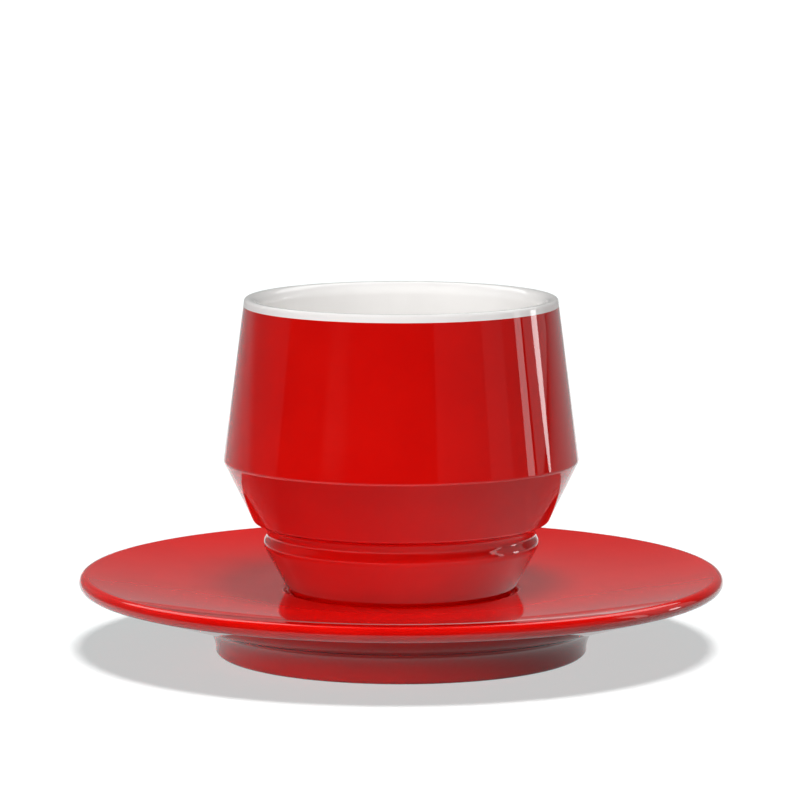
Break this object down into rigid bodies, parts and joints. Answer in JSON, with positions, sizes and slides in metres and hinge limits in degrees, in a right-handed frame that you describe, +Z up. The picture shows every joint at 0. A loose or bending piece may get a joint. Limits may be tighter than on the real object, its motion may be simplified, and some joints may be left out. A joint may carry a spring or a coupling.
{
  "type": "cup and saucer",
  "caption": "Handleless stacking cappuccino cup with a double-cone body and shoulder ring, red outside and white inside, standing in the well of a flat round saucer.",
  "frame": {"origin": "centre of the saucer's foot ring, on the table it stands on", "axes": "+Z up along the axis that the cup and the saucer share; X and Y are alike because every piece is round"},
  "size_m": [0.15, 0.15, 0.0829],
  "materials": {
    "white_porcelain": "glossy clear glaze",
    "red_glaze": "glossy red glaze"
  },
  "bodies": {
    "saucer": {"saucer_body": "white_porcelain", "saucer_glaze": "red_glaze"},
    "cup": {"cup_body": "white_porcelain", "cup_glaze": "red_glaze"}
  },
  "joints": [
    {"name": "cup_lift", "type": "slide", "parent": "saucer", "child": "cup", "axis": [0, 0, 1], "range_m": [0, 0.1]}
  ]
}
